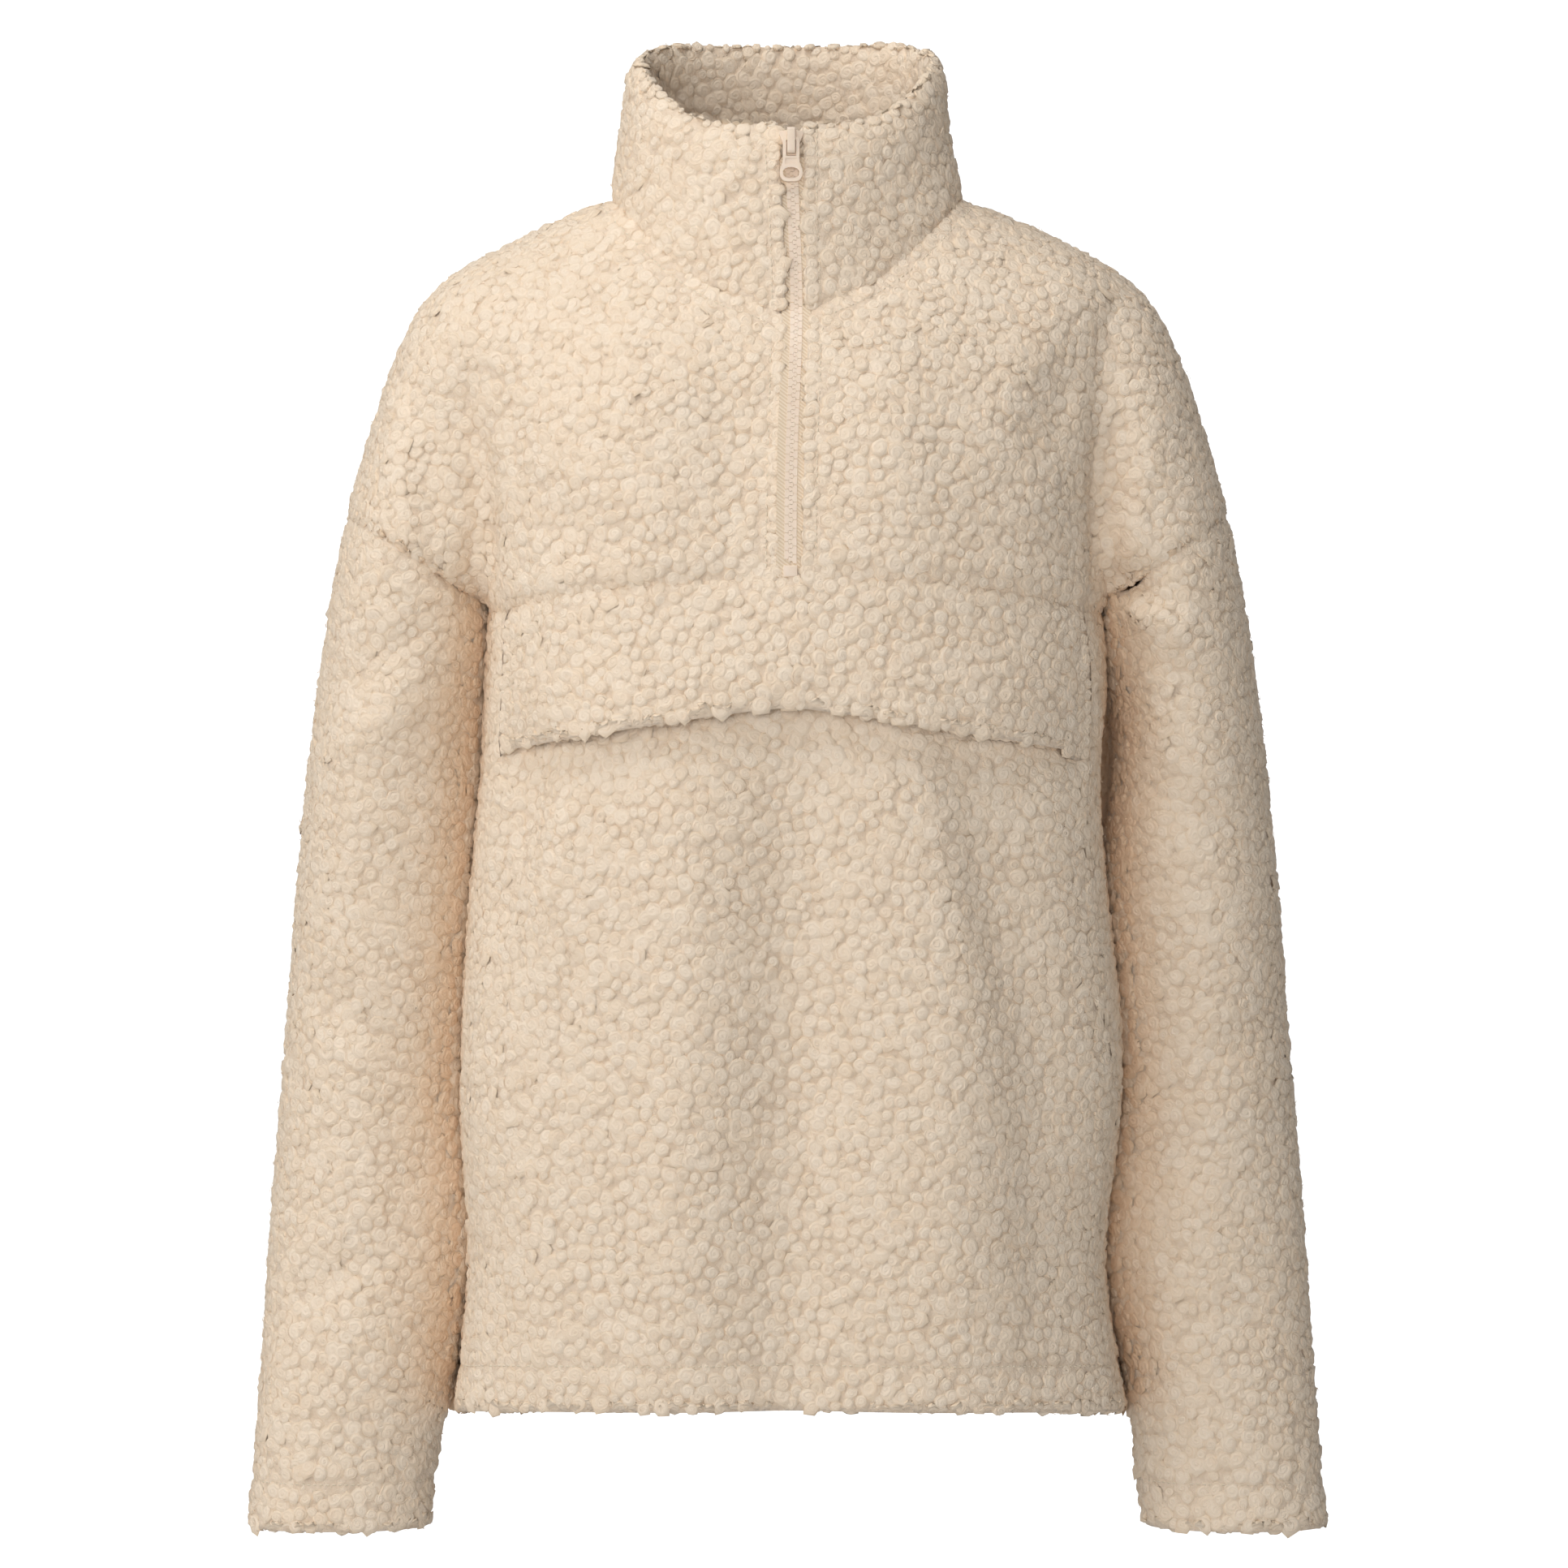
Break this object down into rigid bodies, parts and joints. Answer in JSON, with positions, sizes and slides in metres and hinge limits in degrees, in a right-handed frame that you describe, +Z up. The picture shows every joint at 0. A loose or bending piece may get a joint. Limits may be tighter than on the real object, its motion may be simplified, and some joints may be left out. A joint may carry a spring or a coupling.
{
  "type": "fleece pullover",
  "caption": "Curly-fleece pullover with a tall stand collar, a half zip, a pocket flap across the chest, dropped shoulders and long straight sleeves, filled out as when worn.",
  "frame": {"origin": "midway between the two side-neck points, at the depth where the shoulders carry the garment", "axes": "+X towards the viewer's right when the front is seen, +Y towards the garment's back, +Z up along the body towards the collar"},
  "size_m": [0.56, 0.2439, 0.7737],
  "materials": {
    "curly_fleece": "cream fleece with a curly pile",
    "zip_tape": "woven twill tape",
    "zip_plastic": "semi-matte moulded plastic"
  },
  "bodies": {
    "garment": {"back": "curly_fleece", "collar": "curly_fleece", "front_lower": "curly_fleece", "front_upper_left": "curly_fleece", "front_upper_right": "curly_fleece", "pocket_flap": "curly_fleece", "sleeve_left": "curly_fleece", "sleeve_right": "curly_fleece", "zip_tape_left": "zip_tape", "zip_tape_right": "zip_tape", "zip_bottom_stop": "zip_plastic", "zip_chain": "zip_plastic", "zip_slider": "zip_plastic"},
    "pull": {"zip_pull": "zip_plastic"}
  },
  "joints": [
    {"name": "pull_swing", "type": "hinge", "parent": "garment", "child": "pull", "pos_m": [0.00191, -0.08089, 0.02522], "axis": [-1, 0, 0], "range_deg": [0, 165]}
  ]
}
